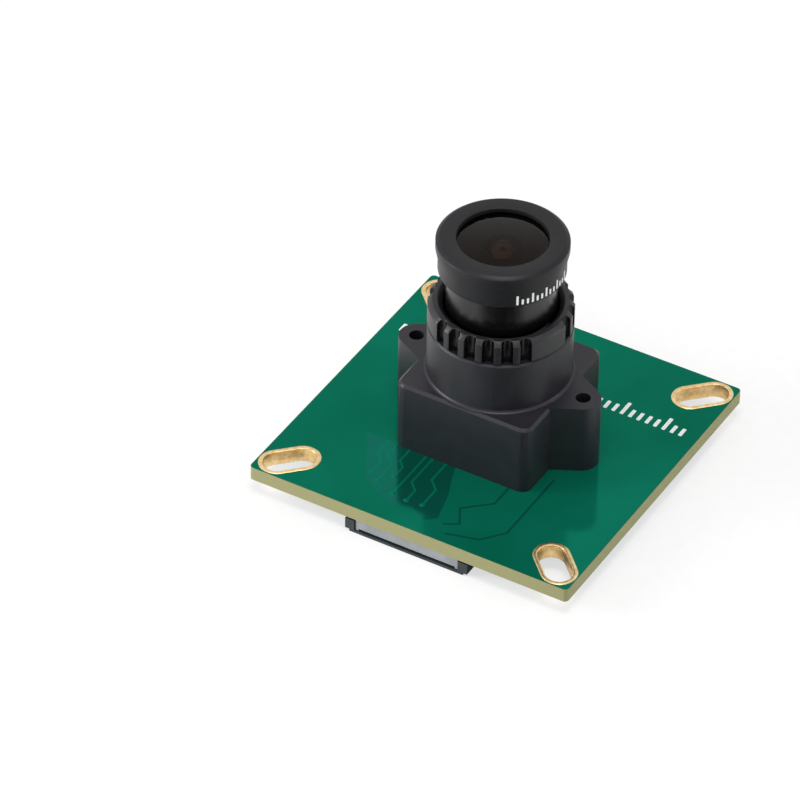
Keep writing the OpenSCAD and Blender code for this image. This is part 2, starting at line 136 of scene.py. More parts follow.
def value_between(material, factor, low, high):
    """A pattern from 0 to 1 turned into a value from low to high."""
    node = add_node(
        material, "ShaderNodeMapRange", None, {"Value": factor, "To Min": low, "To Max": high}
    )
    return node.outputs["Result"]


def bump(material, height, depth_mm, strength=1.0):
    """A normal bent by a height pattern that is depth_mm deep."""
    node = add_node(
        material, "ShaderNodeBump", None,
        {"Height": height, "Distance": depth_mm * MM, "Strength": strength},
    )
    return node.outputs["Normal"]


# %% [markdown]
# ## Finishes of the circuit board
# Solder mask is a liquid epoxy ink, printed on and cured. It is glossy, with a very gentle
# orange-peel ripple. Light passes the green ink before the copper sheet below sends it back, so
# even its reflections are green. A surface that is partly metallic does just that. Where the
# copper is etched away the ink looks darker and mirrors more than it scatters.
# The laminate's cut edge shows its layers: seven or eight sheets of glass cloth in amber resin,
# each about 0.2 mm thick, so a faint banded pattern along Z gives the edge its grain.

# %% Board materials
def solder_mask(name, deep, light, mirrored, ripple=0.0025):
    """Cured green ink; mirrored is the share of its colour that works as a tinted mirror."""
    material, where = new_material(name)
    cloudy = noise(material, where, 0.09, 3.0)
    fine = noise(material, where, 0.55, 2.0)
    return surface(material, {
        "Base Color": blend_colours(material, cloudy, deep, light, 0.3, 0.7),
        "Metallic": mirrored,
        "Roughness": value_between(material, fine, 0.08, 0.13),
        "Specular IOR Level": 0.0,
        "Normal": bump(material, fine, ripple),
    })


def glass_laminate():
    """Glass cloth in amber epoxy, sawn or routed: matt, layered every 0.2 mm."""
    material, where = new_material("glass_cloth_laminate")
    layers = add_node(
        material, "ShaderNodeTexWave",
        {"wave_type": "BANDS", "bands_direction": "Z", "wave_profile": "SIN"},
        {"Vector": where, "Scale": 1.57, "Distortion": 1.2, "Detail": 2.0, "Detail Scale": 1.5},
    )
    fibres = noise(material, where, 5.0, 3.0, 0.6)
    both = add_node(
        material, "ShaderNodeMix", {"data_type": "FLOAT"},
        {0: 0.4, 2: layers.outputs["Fac"], 3: fibres},
    )
    return surface(material, {
        "Base Color": blend_colours(material, both.outputs[0], "#85855a", "#9d9a6c", 0.25, 0.75),
        "Roughness": 0.6,
        "Normal": bump(material, fibres, 0.01),
    })


def plated_metal(name, deep, light, rough_low, rough_high, grain=6.0):
    """Thin metal plating: satin, with a grain that changes colour and gloss a little."""
    material, where = new_material(name)
    mottle = noise(material, where, grain, 3.0)
    return surface(material, {
        "Base Color": blend_colours(material, mottle, deep, light),
        "Metallic": 1.0,
        "Roughness": value_between(material, mottle, rough_low, rough_high),
        "Normal": bump(material, mottle, 0.004),
    })


mask_green = solder_mask("green_solder_mask", "#05674f", "#09725a", 0.42)
mask_over_copper = solder_mask("green_solder_mask_over_copper", "#066e54", "#0a7a60", 0.42)
mask_over_laminate = solder_mask("green_solder_mask_over_laminate", "#0d6a58", "#127463", 0.72)
laminate = glass_laminate()
gold = plated_metal("immersion_gold", "#eec789", "#ffe6b4", 0.3, 0.38, 2.0)
print("board finishes ready")

# %% [markdown]
# Printed marks are white epoxy ink, squeezed through a silk screen: matt, slightly uneven at
# the scale of the screen's mesh, which is about 0.1 mm.

# %% Printing ink
def printing_ink():
    material, where = new_material("white_printing_ink")
    mesh_marks = noise(material, where, 7.0, 2.0)
    return surface(material, {
        "Base Color": blend_colours(material, mesh_marks, "#d9dedb", "#f4f6f4"),
        "Roughness": 0.55,
        "Normal": bump(material, mesh_marks, 0.003),
    })


white_ink = printing_ink()

# %% [markdown]
# ## Finishes of the lens tower
# The holder is moulded from black glass-filled plastic. Its tool was spark-eroded, which leaves
# a fine even grain, and that grain is what makes black plastic look dark grey in soft light.
# The lens barrel and the lock ring are turned from aluminium and anodised black. Their grain is
# the tool's feed marks: rings around the axis, a tenth of a millimetre apart, so the pattern
# reads the distance from the axis on flat faces and the height on upright ones.

# %% Black plastic and anodised aluminium
def moulded_plastic(name, deep, light, rough, grain=9.0, depth=0.006, level=0.4):
    """Spark-eroded mould grain, drawn at about 0.1 mm so that it shows."""
    material, where = new_material(name)
    grains = noise(material, where, grain, 2.0, 0.6)
    cloudy = noise(material, where, 0.5, 2.0)
    return surface(material, {
        "Base Color": blend_colours(material, cloudy, deep, light),
        "Roughness": value_between(material, grains, rough - 0.06, rough + 0.08),
        "Specular IOR Level": level,
        "Normal": bump(material, grains, depth),
    })


def turned_metal(name, deep, light, rough, pitch=0.12, depth=0.004, level=0.5):
    """Black anodised aluminium with feed marks every pitch millimetres around the axis."""
    material, where = new_material(name)
    split = add_node(material, "ShaderNodeSeparateXYZ", None, {0: where})
    flat = add_node(
        material, "ShaderNodeCombineXYZ", None,
        {"X": split.outputs["X"], "Y": split.outputs["Y"]},
    )
    radius = add_node(
        material, "ShaderNodeVectorMath", {"operation": "LENGTH"}, {0: flat.outputs[0]}
    )
    along = add_node(
        material, "ShaderNodeMath", {"operation": "ADD"},
        {0: radius.outputs["Value"], 1: split.outputs["Z"]},
    )
    marks = add_node(
        material, "ShaderNodeMath", {"operation": "SINE"},
        {0: add_node(
            material, "ShaderNodeMath", {"operation": "MULTIPLY"},
            {0: along.outputs[0], 1: 2 * math.pi / pitch},
        ).outputs[0]},
    )
    dust = noise(material, where, 3.0, 3.0)
    return surface(material, {
        "Base Color": blend_colours(material, dust, deep, light),
        "Roughness": value_between(material, dust, rough - 0.05, rough + 0.07),
        "Specular IOR Level": level,
        "Normal": bump(material, marks.outputs[0], depth, 0.5),
    })


holder_plastic = moulded_plastic("black_glass_filled_plastic", "#1d1c22", "#201f26", 0.4)
ring_finish = turned_metal("black_anodised_ring", "#17161a", "#1c1b1f", 0.4, 0.12, 0.004, 0.5)
# The flutes' copy of the ring finish is smoother and painted darker: painted shade for the shade
# inside the flutes.
flute_painted_shade = turned_metal("painted_shade_black_flutes", "#060607", "#09090b", 0.25, 0.12, 0.002, 0.3)
head_finish = turned_metal("black_anodised_head", "#19181b", "#1d1c1f", 0.42, 0.12, 0.004, 0.25)
neck_finish = turned_metal("polished_black_anodised_neck", "#040405", "#08080a", 0.22, 0.1, 0.002)
stop_finish = turned_metal("bronzed_stop", "#2a1e16", "#3b2a1f", 0.4, 0.1, 0.002)
bore_finish = moulded_plastic("blackened_bore", "#050506", "#0a0a0b", 0.7, 6.0, 0.01, 0.2)
print("tower finishes ready")

# %% [markdown]
# ## Glass
# A camera lens is coated glass. The coating takes most of the white reflection away and leaves
# a tint, brown on this front element. Behind it everything is blackened, so the glass looks
# dark, and the small stop in the middle shows as a ring.

# %% Lens, filter and cover glass
def lens_glass(name, through, reflected, rough=0.02, ior=1.52):
    """Polished coated glass: through is the tint of what is seen in it, reflected of its gloss."""
    material, where = new_material(name)
    haze = noise(material, where, 0.6, 2.0)
    return surface(material, {
        "Base Color": blend_colours(material, haze, through, through, 0.0, 1.0),
        "Roughness": rough,
        "IOR": ior,
        "Transmission Weight": 1.0,
        "Specular Tint": linear(reflected),
    })


front_glass = lens_glass("brown_coated_glass", "#c9a98c", "#5a4536")
inner_glass = lens_glass("amber_coated_glass", "#f0dcc8", "#e0a070")
filter_glass = lens_glass("infrared_filter_glass", "#a8dcea", "#f08a8a")
cover_glass = lens_glass("sensor_cover_glass", "#eef6f6", "#ffffff")

# %% [markdown]
# ## Finishes of the small parts
# Under the board sit moulded black chips, tan ceramic capacitors, glazed resistors, grey
# ferrites and two ochre tantalum capacitors. Each has tinned ends or leads.

# %% Small-part materials
epoxy_black = moulded_plastic("black_moulding_epoxy", "#1d1d1f", "#29292b", 0.5)
ochre_epoxy = moulded_plastic("ochre_moulding_epoxy", "#b97f27", "#cf9740", 0.45)
tan_ceramic = moulded_plastic("tan_sintered_ceramic", "#9a7f5c", "#b3966e", 0.5)
black_glaze = moulded_plastic("black_resistor_glaze", "#141416", "#1c1c1f", 0.3)
grey_ferrite = moulded_plastic("grey_ferrite", "#3c3e41", "#4c4f52", 0.55)
pale_ceramic = moulded_plastic("pale_oscillator_ceramic", "#b3ab92", "#c6bfa8", 0.5)
package_ceramic = moulded_plastic("dark_package_ceramic", "#2c2b28", "#383733", 0.6)
connector_nylon = moulded_plastic("grey_nylon", "#878b8f", "#95999c", 0.42)
slider_nylon = moulded_plastic("dark_grey_nylon", "#272d32", "#30373c", 0.4)
lead_tin = plated_metal("tin_plating", "#9fa2a6", "#cfd2d5", 0.25, 0.4)
screw_zinc = plated_metal("bright_zinc_plating", "#a7a9a9", "#d0d2d2", 0.2, 0.35)


def silicon_die():
    """Polished silicon with a fine pixel array, drawn at 0.1 mm, that splits light into colours."""
    material, where = new_material("silicon_pixel_array")
    cells = add_node(
        material, "ShaderNodeTexChecker", None,
        {"Vector": where, "Scale": 10.0, "Color1": linear("#394a5e"), "Color2": linear("#4d4568")},
    )
    return surface(material, {
        "Base Color": cells.outputs["Color"], "Metallic": 0.8, "Roughness": 0.2,
    })


die_silicon = silicon_die()
print(len(bpy.data.materials), "materials in all")

# %% [markdown]
# ## From solids to dressed pieces
# Every moulded or machined edge is slightly round, and that thin roundness catches a line of
# light that the eye reads as real. Many solids need nothing else. So one function copies a
# solid's mesh, merges its loose triangles, joins the flat ones into whole faces, and bevels
# every edge sharper than a given angle. The copy then stands for the solid, which stays hidden
# and still does the colliding.

# %% Piece helpers
def add_piece(name, bm, materials, body, stands_for=(), smooth=40):
    """Turns a bmesh into a piece that rides on a body and takes its finish from a slot."""
    mesh = bpy.data.meshes.new(name)
    bm.to_mesh(mesh)
    bm.free()
    for material in materials:
        mesh.materials.append(material)
    mesh.shade_smooth()
    mesh.set_sharp_from_angle(angle=math.radians(smooth))
    piece = bpy.data.objects.new(name, mesh)
    scene.collection.objects.link(piece)
    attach(piece, body)
    if stands_for:
        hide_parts(*stands_for)
    print(name, len(mesh.polygons), "faces")
    return piece


def merged_copy(node):
    """A solid's mesh with its corners merged and its flat triangles joined."""
    bm = bmesh.new()
    bm.from_mesh(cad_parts[node].data)
    bmesh.ops.remove_doubles(bm, verts=bm.verts, dist=0.001 * MM)
    bmesh.ops.dissolve_limit(
        bm, angle_limit=math.radians(1), verts=bm.verts, edges=bm.edges, delimit={"NORMAL"}
    )
    return bm


def soften(bm, width, segments=2, angle=30):
    """Bevels the edges that turn by more than angle degrees."""
    sharp = [
        edge for edge in bm.edges
        if edge.is_manifold and edge.calc_face_angle() > math.radians(angle)
    ]
    bmesh.ops.bevel(
        bm, geom=sharp, offset=width * MM, offset_type="OFFSET", segments=segments,
        profile=0.5, affect="EDGES", clamp_overlap=True, material=-1, loop_slide=True,
    )


def even_normals(piece):
    """Lets the large faces lead the shading, so that a bevel looks round and a flat looks flat."""
    modifier = piece.modifiers.new("even_normals", "WEIGHTED_NORMAL")
    modifier.keep_sharp = True
    return piece


def dressed(node, name, material, body, width, segments=2, angle=30):
    bm = merged_copy(node)
    soften(bm, width, segments, angle)
    return even_normals(add_piece(name, bm, [material], body, [node]))


# %% [markdown]
# ## The board
# The laminate is the solid as it is, with its sawn edges. The solder mask is a film of its own
# on each face, 0.03 mm thick: the face of the solid is copied, pulled in a little all round, as
# the ink is kept clear of the saw, and raised.

# %% Laminate and solder mask
dressed("circuit_board", "laminate_core", laminate, "root", 0.03, 1)
MASK = 0.03 * MM
CLEAR_OF_SAW = 0.04 * MM


def mask_film(name, side):
    """The ink on the top face (side 1) or the underside (side -1)."""
    level = board_high.z if side > 0 else board_low.z
    bm = merged_copy("circuit_board")
    others = [
        face for face in bm.faces
        if face.normal.z * side < 0.9 or abs(face.calc_center_median().z - level) > 0.01 * MM
    ]
    bmesh.ops.delete(bm, geom=others, context="FACES")
    film = bmesh.ops.extrude_face_region(bm, geom=bm.faces[:])
    raised = [item for item in film["geom"] if isinstance(item, bmesh.types.BMVert)]
    bmesh.ops.translate(bm, verts=raised, vec=(0, 0, side * MASK))
    shrink = 1 - CLEAR_OF_SAW / half_board
    bmesh.ops.scale(bm, verts=bm.verts, vec=(shrink, shrink, 1))
    bmesh.ops.recalc_face_normals(bm, faces=bm.faces)
    return add_piece(name, bm, [mask_green], "root")


mask_film("solder_mask_top", 1)
mask_film("solder_mask_bottom", -1)

# %% [markdown]
# ## Copper tracks under the mask
# Tracks are etched from copper foil and covered by the mask, so they show as faint ridges,
# lighter green than the mask on bare laminate. Where a gap is etched in the foil, a thin dark
# line shows. Both are made as a draughtsman lays tape: one short edge is drawn across the start
# and pulled along the route, mitred at each corner, and the strip is then raised.

# %% Track helpers
def corner_directions(points):
    """At each point of a route, the direction across it, stretched where it is mitred."""
    steps = [(b - a).normalized() for a, b in zip(points, points[1:])]
    across = [Vector((-step.y, step.x, 0)) for step in steps]
    middles = [(a + b).normalized() for a, b in zip(across, across[1:])]
    return [across[0]] + [m / m.dot(a) for m, a in zip(middles, across)] + [across[-1]]


def lay_strip(bm, route, width, low, high):
    """A flat strip along the route's points, in millimetres, from level low to level high."""
    points = [Vector((x, y, low / MM)) * MM for x, y in route]
    points = points[:1] + [b for a, b in zip(points, points[1:]) if (b - a).length > 0.05 * MM]
    sides = [side * width * MM / 2 for side in corner_directions(points)]
    left, right = bm.verts.new(points[0] + sides[0]), bm.verts.new(points[0] - sides[0])
    faces = []
    for point, side in zip(points[1:], sides[1:]):
        next_left, next_right = [
            bmesh.ops.extrude_vert_indiv(bm, verts=[vert])["verts"][0] for vert in (left, right)
        ]
        next_left.co, next_right.co = point + side, point - side
        faces.append(bmesh.ops.contextual_create(
            bm, geom=[left, right, next_right, next_left])["faces"][0])
        left, right = next_left, next_right
    made = bmesh.ops.extrude_face_region(bm, geom=faces)["geom"]
    raised = [item for item in made if isinstance(item, bmesh.types.BMVert)]
    bmesh.ops.translate(bm, verts=raised, vec=(0, 0, high - low))


def via_dots(bm, places, level, side):
    """Low rounded dots over the plated holes that join the board's layers."""
    for x, y in places:
        made = bmesh.ops.create_cone(
            bm, cap_ends=True, cap_tris=False, segments=16, radius1=0.32 * MM, radius2=0.2 * MM,
            depth=0.03 * MM,
            matrix=Matrix.Translation((x * MM, y * MM, level + side * 0.015 * MM))
            @ Matrix.Rotation(0 if side > 0 else math.pi, 4, "X"),
        )
        level_faces = {face for vert in made["verts"] for face in vert.link_faces
                       if abs(face.normal.z) > 0.9}
        top = [face for face in level_faces
               if (face.calc_center_median().z - level) * side > 0.02 * MM]
        bmesh.ops.inset_region(bm, faces=top, thickness=0.08 * MM)


# %% [markdown]
# The top of this board is mostly one sheet of copper, divided by narrow gaps. In front of the
# holder the sheet is etched away over an irregular field, and a few lines cross that field to
# vias. The connector is below.

# %% Copper pattern
COPPER_GAPS = [
    [(9.3, -4.4), (9.3, -14.3), (7.4, -16.7), (3.8, -17.7)],
    [(5.9, -7.9), (5.9, -10.9), (3.2, -13.4), (4.4, -15.6), (2.9, -16.5)],
]
OPEN_FIELD = [
    (-11.4, -7.7), (-0.6, -7.7), (0.2, -10.0), (1.1, -12.2), (2.0, -15.9), (1.0, -17.0),
    (-1.1, -15.8), (-2.6, -16.5), (-4.8, -16.0), (-7.6, -14.3),
]
FIELD_LINES = [
    [(-8.6, -7.7), (-8.6, -10.2), (-7.6, -11.2), (-7.6, -13.2)],
    [(-7.6, -7.7), (-7.6, -9.8), (-6.4, -11.0), (-6.4, -14.0)],
    [(-6.0, -7.7), (-6.0, -10.0), (-5.2, -10.8), (-5.2, -12.6)],
    [(-4.0, -7.7), (-4.0, -15.0)],
    [(-3.2, -7.7), (-3.2, -12.4), (-2.2, -13.4), (-2.2, -15.2)],
    [(-1.6, -7.7), (-1.6, -11.0), (-0.4, -12.2), (-0.4, -15.0)],
]


def lay_field(bm, outline, low, high):
    """A flat field inside an outline given in millimetres, from level low to level high."""
    verts = [bm.verts.new((x * MM, y * MM, low)) for x, y in outline]
    face = bmesh.ops.contextual_create(bm, geom=verts)["faces"]
    made = bmesh.ops.extrude_face_region(bm, geom=face)["geom"]
    raised = [item for item in made if isinstance(item, bmesh.types.BMVert)]
    bmesh.ops.translate(bm, verts=raised, vec=(0, 0, high - low))


def top_copper():
    """Gaps, lines and vias on the board's top, under the mask."""
    level = board_high.z + MASK
    shades = bmesh.new()
    for route in COPPER_GAPS:
        lay_strip(shades, route, 0.28, level - 0.01 * MM, level + 0.001 * MM)
    lay_field(shades, OPEN_FIELD, level - 0.01 * MM, level + 0.001 * MM)
    tracks = bmesh.new()
    for route in FIELD_LINES:
        lay_strip(tracks, route, 0.25, level - 0.01 * MM, level + 0.008 * MM)
    via_dots(tracks, [route[-1] for route in FIELD_LINES], level, 1)
    for bm in (shades, tracks):
        bmesh.ops.recalc_face_normals(bm, faces=bm.faces)
    add_piece("isolation_gaps_top", shades, [mask_over_laminate], "root")
    add_piece("tracks_top", tracks, [mask_over_copper], "root")


top_copper()

# %% [markdown]
# ## White print
# Boards carry printed marks. Here it is a plain ruler: a row of ticks a millimetre apart that
# crosses the board behind the holder, every fifth one longer. The ink is 0.02 mm thick and its
# corners are round, because it is squeezed through a screen.

# %% Printed ruler
def ink_tick(bm, width, length, depth, place):
    """One tick of ink, its upright corners rounded; place moves it from the origin."""
    sizes = Matrix.Diagonal((width * MM, length * MM, depth * MM, 1))
    verts = bmesh.ops.create_cube(bm, size=1.0, matrix=place @ sizes)["verts"]
    axis = place.to_3x3() @ Vector((0, 0, 1))
    upright = [edge for edge in {e for v in verts for e in v.link_edges}
               if abs((edge.verts[1].co - edge.verts[0].co).normalized().dot(axis)) > 0.9]
    bmesh.ops.bevel(
        bm, geom=upright, offset=min(width, length) * 0.25 * MM, offset_type="OFFSET",
        segments=3, profile=0.5, affect="EDGES", clamp_overlap=True, material=-1,
    )


def printed_ruler():
    bm = bmesh.new()
    line_y, depth = 8.7, 0.02
    for index in range(-17, 18):
        long = index % 5 == 0
        length = 2.1 if long else 1.3
        ink_tick(bm, 0.42, length, depth, Matrix.Translation(
            (index * MM, (line_y + length / 2) * MM, board_high.z + MASK + depth * MM / 2)
        ))
    bmesh.ops.recalc_face_normals(bm, faces=bm.faces)
    return add_piece("printed_ruler", bm, [white_ink], "root")


printed_ruler()

# %% [markdown]
# ## Gold-lined slots
# A mounting slot is routed, then copper is plated through it and over a rim on both faces, and
# gold goes on the copper. Its section is like a rivet's: a thin wall that turns outward at both
# ends with soft corners. That section is spun half a turn round one end of the slot, pulled
# straight, spun round the other end and pulled straight again.

# %% Slot linings
def lining_section(bm, x, y, rim):
    """The closed section of a lining at (x, y), reaching outward along -Y; returns its edges."""
    top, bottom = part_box("slot_linings")[1].z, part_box("slot_linings")[0].z
    soft = 0.04 * MM
    wall = 0.05 * MM
    outline = [
        (soft, top), (rim - soft, top), (rim, top - soft), (rim, board_high.z),
        (wall, board_high.z), (wall, board_low.z), (rim, board_low.z), (rim, bottom + soft),
        (rim - soft, bottom), (soft, bottom), (0.3 * soft, bottom + 0.3 * soft), (0, bottom + soft),
        (0, top - soft), (0.3 * soft, top - 0.3 * soft),
    ]
    verts = [bm.verts.new((x, y - out, z)) for out, z in outline]
    return [bm.edges.new((a, b)) for a, b in zip(verts, verts[1:] + verts[:1])]


def sweep_slot(bm, length, width, rim):
    """Sweeps the lining's section round a slot that lies along X."""
    middle = (length - width) / 2
    edges = lining_section(bm, middle, -width / 2, rim)
    for side in (1, -1):
        spun = bmesh.ops.spin(
            bm, geom=edges + list({v for e in edges for v in e.verts}), cent=(side * middle, 0, 0),
            axis=(0, 0, 1), angle=math.pi, steps=24, use_merge=False, use_duplicate=False,
        )
        edges = [item for item in spun["geom_last"] if isinstance(item, bmesh.types.BMEdge)]
        pulled = bmesh.ops.extrude_edge_only(bm, edges=edges)["geom"]
        fresh = [item for item in pulled if isinstance(item, bmesh.types.BMVert)]
        bmesh.ops.translate(bm, verts=fresh, vec=(-side * 2 * middle, 0, 0))
        edges = [item for item in pulled if isinstance(item, bmesh.types.BMEdge)
                 and all(vert in fresh for vert in item.verts)]
    bmesh.ops.remove_doubles(bm, verts=bm.verts, dist=0.002 * MM)


def slot_linings():
    """All four linings, each turned to lie along the board's diagonal."""
    slot_length, slot_width, rim = 5.8 * MM, 3.0 * MM, 0.48 * MM
    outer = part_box("slot_linings")[1].x
    end_reach = (slot_length - slot_width) / 2 * math.cos(math.pi / 4) + slot_width / 2 + rim
    centre = outer - end_reach
    bm = bmesh.new()
    sweep_slot(bm, slot_length, slot_width, rim)
    first = bm.verts[:]
    bmesh.ops.transform(bm, verts=first, matrix=Matrix.Translation((centre, centre, 0))
                        @ Matrix.Rotation(math.pi / 4, 4, "Z"))
    single = bm.copy()
    for quarter in (1, 2, 3):
        turned = single.copy()
        quarter_turn = Matrix.Rotation(quarter * math.pi / 2, 3, "Z")
        bmesh.ops.rotate(turned, verts=turned.verts, matrix=quarter_turn)
        mesh = bpy.data.meshes.new("turned")
        turned.to_mesh(mesh)
        bm.from_mesh(mesh)
        bpy.data.meshes.remove(mesh)
        turned.free()
    single.free()
    bmesh.ops.recalc_face_normals(bm, faces=bm.faces)
    return add_piece("gold_slot_linings", bm, [gold], "root", ["slot_linings"], 50)


slot_linings()

# %% [markdown]
# ## The lens holder
# One moulding: a square block over the sensor, a round neck with the lens thread, and two ears
# for the screws. Its edges are rounded by 0.12 mm, as the mould's are.

# %% Holder
dressed("lens_holder", "moulded_lens_holder", holder_plastic, "root", 0.12, 3, 25)
dressed("holder_screws", "pan_head_screws", screw_zinc, "root", 0.05, 2, 35)

# %% [markdown]
# ## The lock ring
# The flutes are milled after turning, so the lands between them end in crisp corners that are
# only just broken. A 0.07 mm bevel gives the bright lines that show the flutes from afar. The
# milled floors of the flutes are smoother than the turned lands, and their colour is painted
# near black: painted shade for the shade that falls inside them.

# %% Lock ring
def fluted_ring():
    bm = merged_copy("lock_ring")
    soften(bm, 0.07, 2, 25)
    outside = ring_high.x / MM
    for face in bm.faces:
        radius = face.calc_center_median().xy.length / MM
        # Faces inside the flutes take the second finish, whose darker colour is painted shade.
        if abs(face.normal.z) < 0.3 and outside - 0.85 < radius < outside - 0.12:
            face.material_index = 1
    return even_normals(add_piece(
        "fluted_lock_ring", bm, [ring_finish, flute_painted_shade], "lock_ring",
        ["lock_ring"],
    ))


fluted_ring()

# %% [markdown]
# ## The lens barrel
# The barrel is turned in one piece, so it is made as a lathe makes it: half a section is drawn
# and spun round the axis. The thread has a pitch of 0.5 mm. It is a triangle spun with a rise,
# a real helix that winds up the core and runs out at the neck.

# %% Barrel section
def spun(bm, outline, steps=144):
    """Spins an outline of (radius, height) points in millimetres once round the Z axis."""
    verts = [bm.verts.new((r * MM, 0, z)) for r, z in outline]
    edges = [bm.edges.new(pair) for pair in zip(verts, verts[1:] + verts[:1])]
    bmesh.ops.spin(
        bm, geom=verts + edges, cent=(0, 0, 0), axis=(0, 0, 1), angle=2 * math.pi, steps=steps,
        use_merge=True, use_duplicate=False,
    )
    bmesh.ops.remove_doubles(bm, verts=bm.verts, dist=0.002 * MM)
    bmesh.ops.recalc_face_normals(bm, faces=bm.faces)


THREAD_CREST, THREAD_ROOT, THREAD_PITCH = 5.97, 5.69, 0.5
NECK_RADIUS, HEAD_RADIUS = 5.8, 6.68
top = barrel_high.z
foot = barrel_low.z
head_foot = top - 4.0 * MM
seat = top - 0.5 * MM
thread_top = ring_high.z - 0.5 * MM


def barrel_outline():
    """The barrel's section from the foot up the outside, over the rim and down the bore."""
    return [
        (THREAD_ROOT - 0.1, foot), (THREAD_ROOT, foot + 0.1 * MM),
        (THREAD_ROOT, thread_top - 0.3 * MM), (NECK_RADIUS, thread_top), (NECK_RADIUS, head_foot),
        (6.53, head_foot), (HEAD_RADIUS, head_foot + 0.15 * MM), (HEAD_RADIUS, top - 2.5 * MM),
        (6.95, top - 1.2 * MM), (6.95, top - 0.3 * MM), (6.53, top),
        (4.85, top), (4.75, seat + 0.2 * MM), (4.75, seat), (4.95, seat), (4.95, foot),
    ]


def lens_barrel():
    bm = bmesh.new()
    spun(bm, barrel_outline())
    soften(bm, 0.06, 3, 20)
    for face in bm.faces:
        middle = face.calc_center_median()
        radius = middle.xy.length / MM
        outside = face.normal.xy.dot(middle.xy) > 0 or face.normal.z > 0.5
        if not outside or (radius < 4.98 and middle.z < top - 0.02 * MM):
            face.material_index = 2
        elif middle.z < head_foot + 0.02 * MM:
            face.material_index = 1
    return even_normals(add_piece(
        "turned_lens_barrel", bm, [head_finish, neck_finish, bore_finish], "lens_barrel",
        ["lens_barrel"], 35,
    ))


lens_barrel()

# %% Lens thread
def lens_thread():
    """A triangular ridge that climbs one pitch in each turn."""
    turns = int((thread_top - foot) / MM / THREAD_PITCH) - 1
    steps_a_turn = 48
    start = foot + 0.3 * MM
    bm = bmesh.new()
    section = [
        (THREAD_ROOT - 0.05, -0.24), (THREAD_CREST, -0.03),
        (THREAD_CREST, 0.03), (THREAD_ROOT - 0.05, 0.24),
    ]
    verts = [bm.verts.new((r * MM, 0, start + z * MM)) for r, z in section]
    edges = [bm.edges.new(pair) for pair in zip(verts, verts[1:] + verts[:1])]
    bmesh.ops.spin(
        bm, geom=verts + edges, cent=(0, 0, 0), axis=(0, 0, 1),
        dvec=(0, 0, THREAD_PITCH * MM / steps_a_turn), angle=2 * math.pi * turns,
        steps=steps_a_turn * turns, use_merge=False, use_duplicate=False,
    )
    bmesh.ops.holes_fill(bm, edges=bm.edges, sides=4)
    bmesh.ops.recalc_face_normals(bm, faces=bm.faces)
    return add_piece(
        "lens_thread", bm, [neck_finish], "lens_barrel", (), 60
    )


lens_thread()

# %% [markdown]
# The marks on the head's side are printed too: a plain scale of ticks along its taper. Each is
# a flat tick laid against the metal, so it is made upright, moved out to the head's radius and
# turned round the axis.

# %% Scale on the lens head
def head_scale():
    bm = bmesh.new()
    first, last, count = -47.0, 11.0, 13
    for index in range(count):
        long = index % 3 == 0
        length = 1.15 if long else 0.65
        angle = math.radians(first + (last - first) * index / (count - 1))
        upright = Matrix.Rotation(math.pi / 2, 4, "X")
        place = (
            Matrix.Rotation(angle, 4, "Z") @ Matrix.Translation(
                (6.685 * MM, 0, head_foot + (0.3 + length / 2) * MM)
            ) @ Matrix.Rotation(math.pi / 2, 4, "Z") @ upright
        )
        ink_tick(bm, 0.24, length, 0.02, place)
    bmesh.ops.recalc_face_normals(bm, faces=bm.faces)
    return add_piece("head_scale", bm, [white_ink], "lens_barrel")


head_scale()

# %% [markdown]
# ## Glass and what is behind it
# The inner pieces keep their solid form and only need a finish. The front element is spun anew
# with more steps, because its wide dome mirrors the room and would show facets.

# %% Finishes of the inner pieces
def arc(radius, centre, first, last, steps):
    """Points (radius, height) on a ball round the axis, from angle first to last off the axis."""
    angles = [math.radians(first + (last - first) * index / steps) for index in range(steps + 1)]
    return [(radius * math.sin(a), centre + radius * math.cos(a) * MM) for a in angles]


def front_element():
    """Low dome outside, half a ball hollowed out inside, and black paint on edge and back."""
    low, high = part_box("front_element")
    rise, clear, hollow = 0.35, 4.6, 1.95
    ball = (clear ** 2 + rise ** 2) / (2 * rise)
    edge_top = high.z - rise * MM
    back = low.z + 0.02 * MM
    outline = [(4.92, back), (4.92, edge_top)]
    outline += arc(ball, high.z - ball * MM, math.degrees(math.asin(clear / ball)), 0, 14)
    outline += arc(hollow, back, 0, 90, 24)
    bm = bmesh.new()
    spun(bm, outline)
    for face in bm.faces:
        middle = face.calc_center_median()
        if middle.z < back + 0.001 * MM or middle.xy.length > 4.9 * MM:
            face.material_index = 1
    return add_piece(
        "front_lens", bm, [front_glass, bore_finish], "optics",
        ["front_element"], 25,
    )


front_element()

plain_finishes = {
    "aperture_stop": stop_finish, "front_spacer": bore_finish, "second_element": inner_glass,
    "middle_spacer": bore_finish, "third_element": inner_glass, "fourth_element": inner_glass,
    "rear_spacer": bore_finish, "rear_element": inner_glass, "rear_retaining_ring": bore_finish,
    "infrared_filter": filter_glass, "sensor_package": package_ceramic, "sensor_die": die_silicon,
    "sensor_cover_glass": cover_glass,
}
for node, material in plain_finishes.items():
    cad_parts[node].material_slots[0].material = material
print(len(plain_finishes), "solids keep their form")

# %% [markdown]
# ## The flat-cable connector
# Housing and slider are moulded, with edges broken by a few hundredths of a millimetre. The
# contacts are stamped from thin gold-plated sheet and the anchors from tinned sheet.

# %% Connector
dressed(
    "connector_housing", "moulded_connector_housing", connector_nylon, "root",
    0.03, 1, 50,
)
dressed(
    "connector_slider", "moulded_slider", slider_nylon, "connector_slider",
    0.06, 2, 50,
)
dressed("connector_contacts", "stamped_contacts", gold, "root", 0.015, 1, 50)
dressed("connector_anchors", "stamped_anchors", lead_tin, "root", 0.02, 1, 50)

# %% [markdown]
# ## Small parts under the board
# A chip part is a body with metal at both ends. The solid holds both in one form, so its copy
# is painted by place: each separate chip is found as an island of the mesh, and faces near the
# two ends of its longest side, or low beside the body, get the metal.

